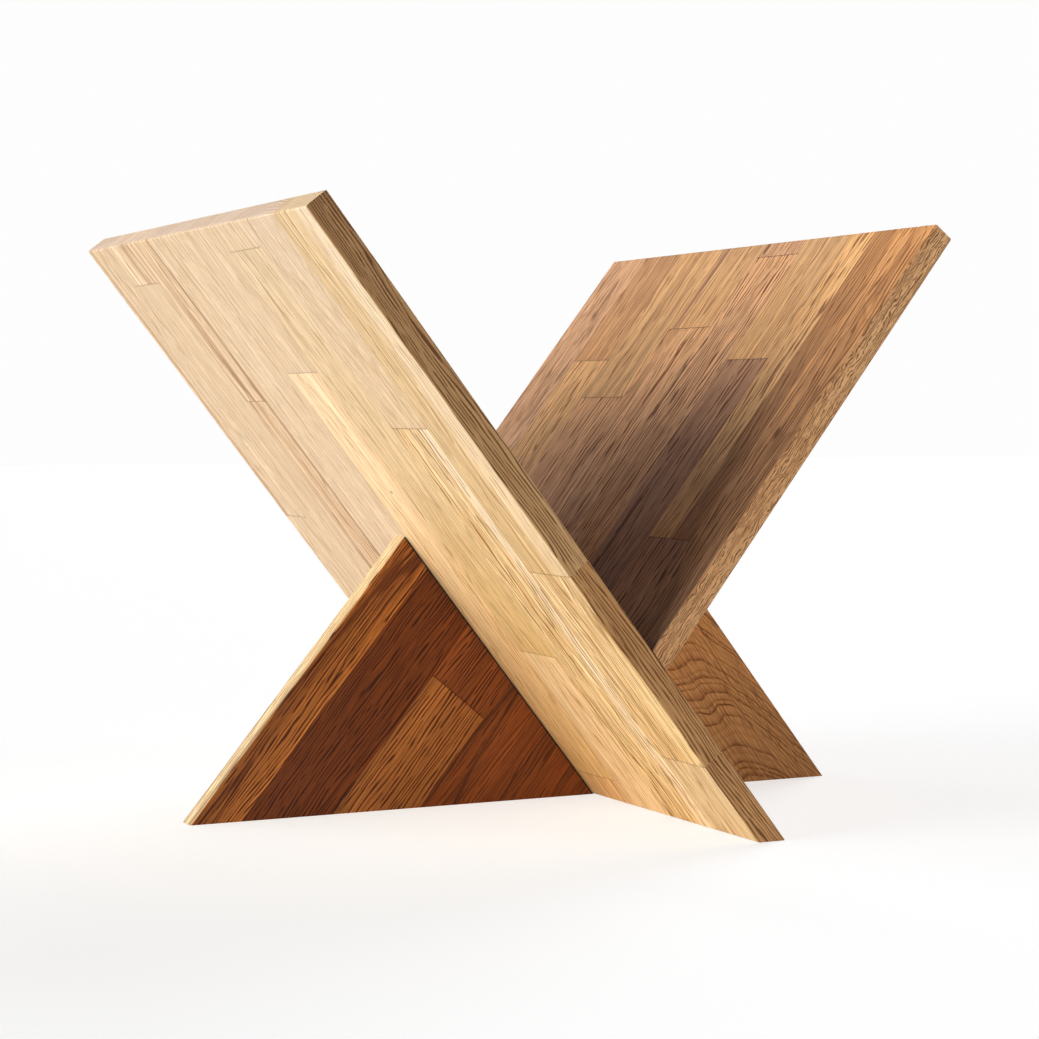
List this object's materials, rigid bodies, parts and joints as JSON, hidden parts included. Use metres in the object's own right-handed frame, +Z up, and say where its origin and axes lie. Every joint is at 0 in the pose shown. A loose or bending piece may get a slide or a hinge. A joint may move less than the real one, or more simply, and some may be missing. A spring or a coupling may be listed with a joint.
{
  "type": "x-frame wooden stand",
  "caption": "Free-standing X-shaped stand of edge-glued oak boards: two leaning panels form a V cradle, held up by flat upright legs at mid-depth.",
  "frame": {"origin": "on the floor, under the middle of the stand's bounding box", "axes": "+X to the right, from the left leg's toe to the right leg's toe; +Y to the back, along the panels' depth; +Z up"},
  "size_m": [0.5474, 0.48, 0.4384],
  "materials": {
    "pale_oak": "oiled, satin",
    "tan_oak": "oiled, satin",
    "red_brown_oak": "oiled, satin",
    "honey_oak": "oiled, satin",
    "beech_dowel": "raw"
  },
  "bodies": {
    "root": {"long_stave_1a": "pale_oak", "long_stave_1b": "pale_oak", "long_stave_1c": "pale_oak", "long_stave_2a": "pale_oak", "long_stave_2b": "pale_oak", "long_stave_3a": "pale_oak", "long_stave_3b": "pale_oak", "long_stave_3c": "pale_oak", "long_stave_4a": "pale_oak", "long_stave_4b": "pale_oak", "long_stave_4c": "pale_oak", "long_stave_5": "pale_oak", "long_stave_6a": "pale_oak", "long_stave_6b": "pale_oak", "long_stave_7a": "pale_oak", "long_stave_7b": "pale_oak", "long_stave_8a": "pale_oak", "long_stave_8b": "pale_oak", "short_stave_1": "tan_oak", "short_stave_2a": "tan_oak", "short_stave_2b": "tan_oak", "short_stave_3a": "tan_oak", "short_stave_3b": "tan_oak", "short_stave_4a": "tan_oak", "short_stave_4b": "tan_oak", "short_stave_5a": "tan_oak", "short_stave_5b": "tan_oak", "short_stave_6a": "tan_oak", "short_stave_6b": "tan_oak", "short_stave_7a": "tan_oak", "short_stave_7b": "tan_oak", "short_stave_8": "tan_oak", "left_leg_stave_1": "red_brown_oak", "left_leg_stave_2": "red_brown_oak", "left_leg_stave_3a": "red_brown_oak", "left_leg_stave_3b": "red_brown_oak", "left_leg_stave_4": "red_brown_oak", "left_leg_stave_5": "red_brown_oak", "right_leg_stave_1": "honey_oak", "right_leg_stave_2": "honey_oak", "short_panel_dowels": "beech_dowel", "left_leg_dowels": "beech_dowel", "right_leg_dowels": "beech_dowel", "right_leg_top_dowels": "beech_dowel"}
  },
  "joints": []
}
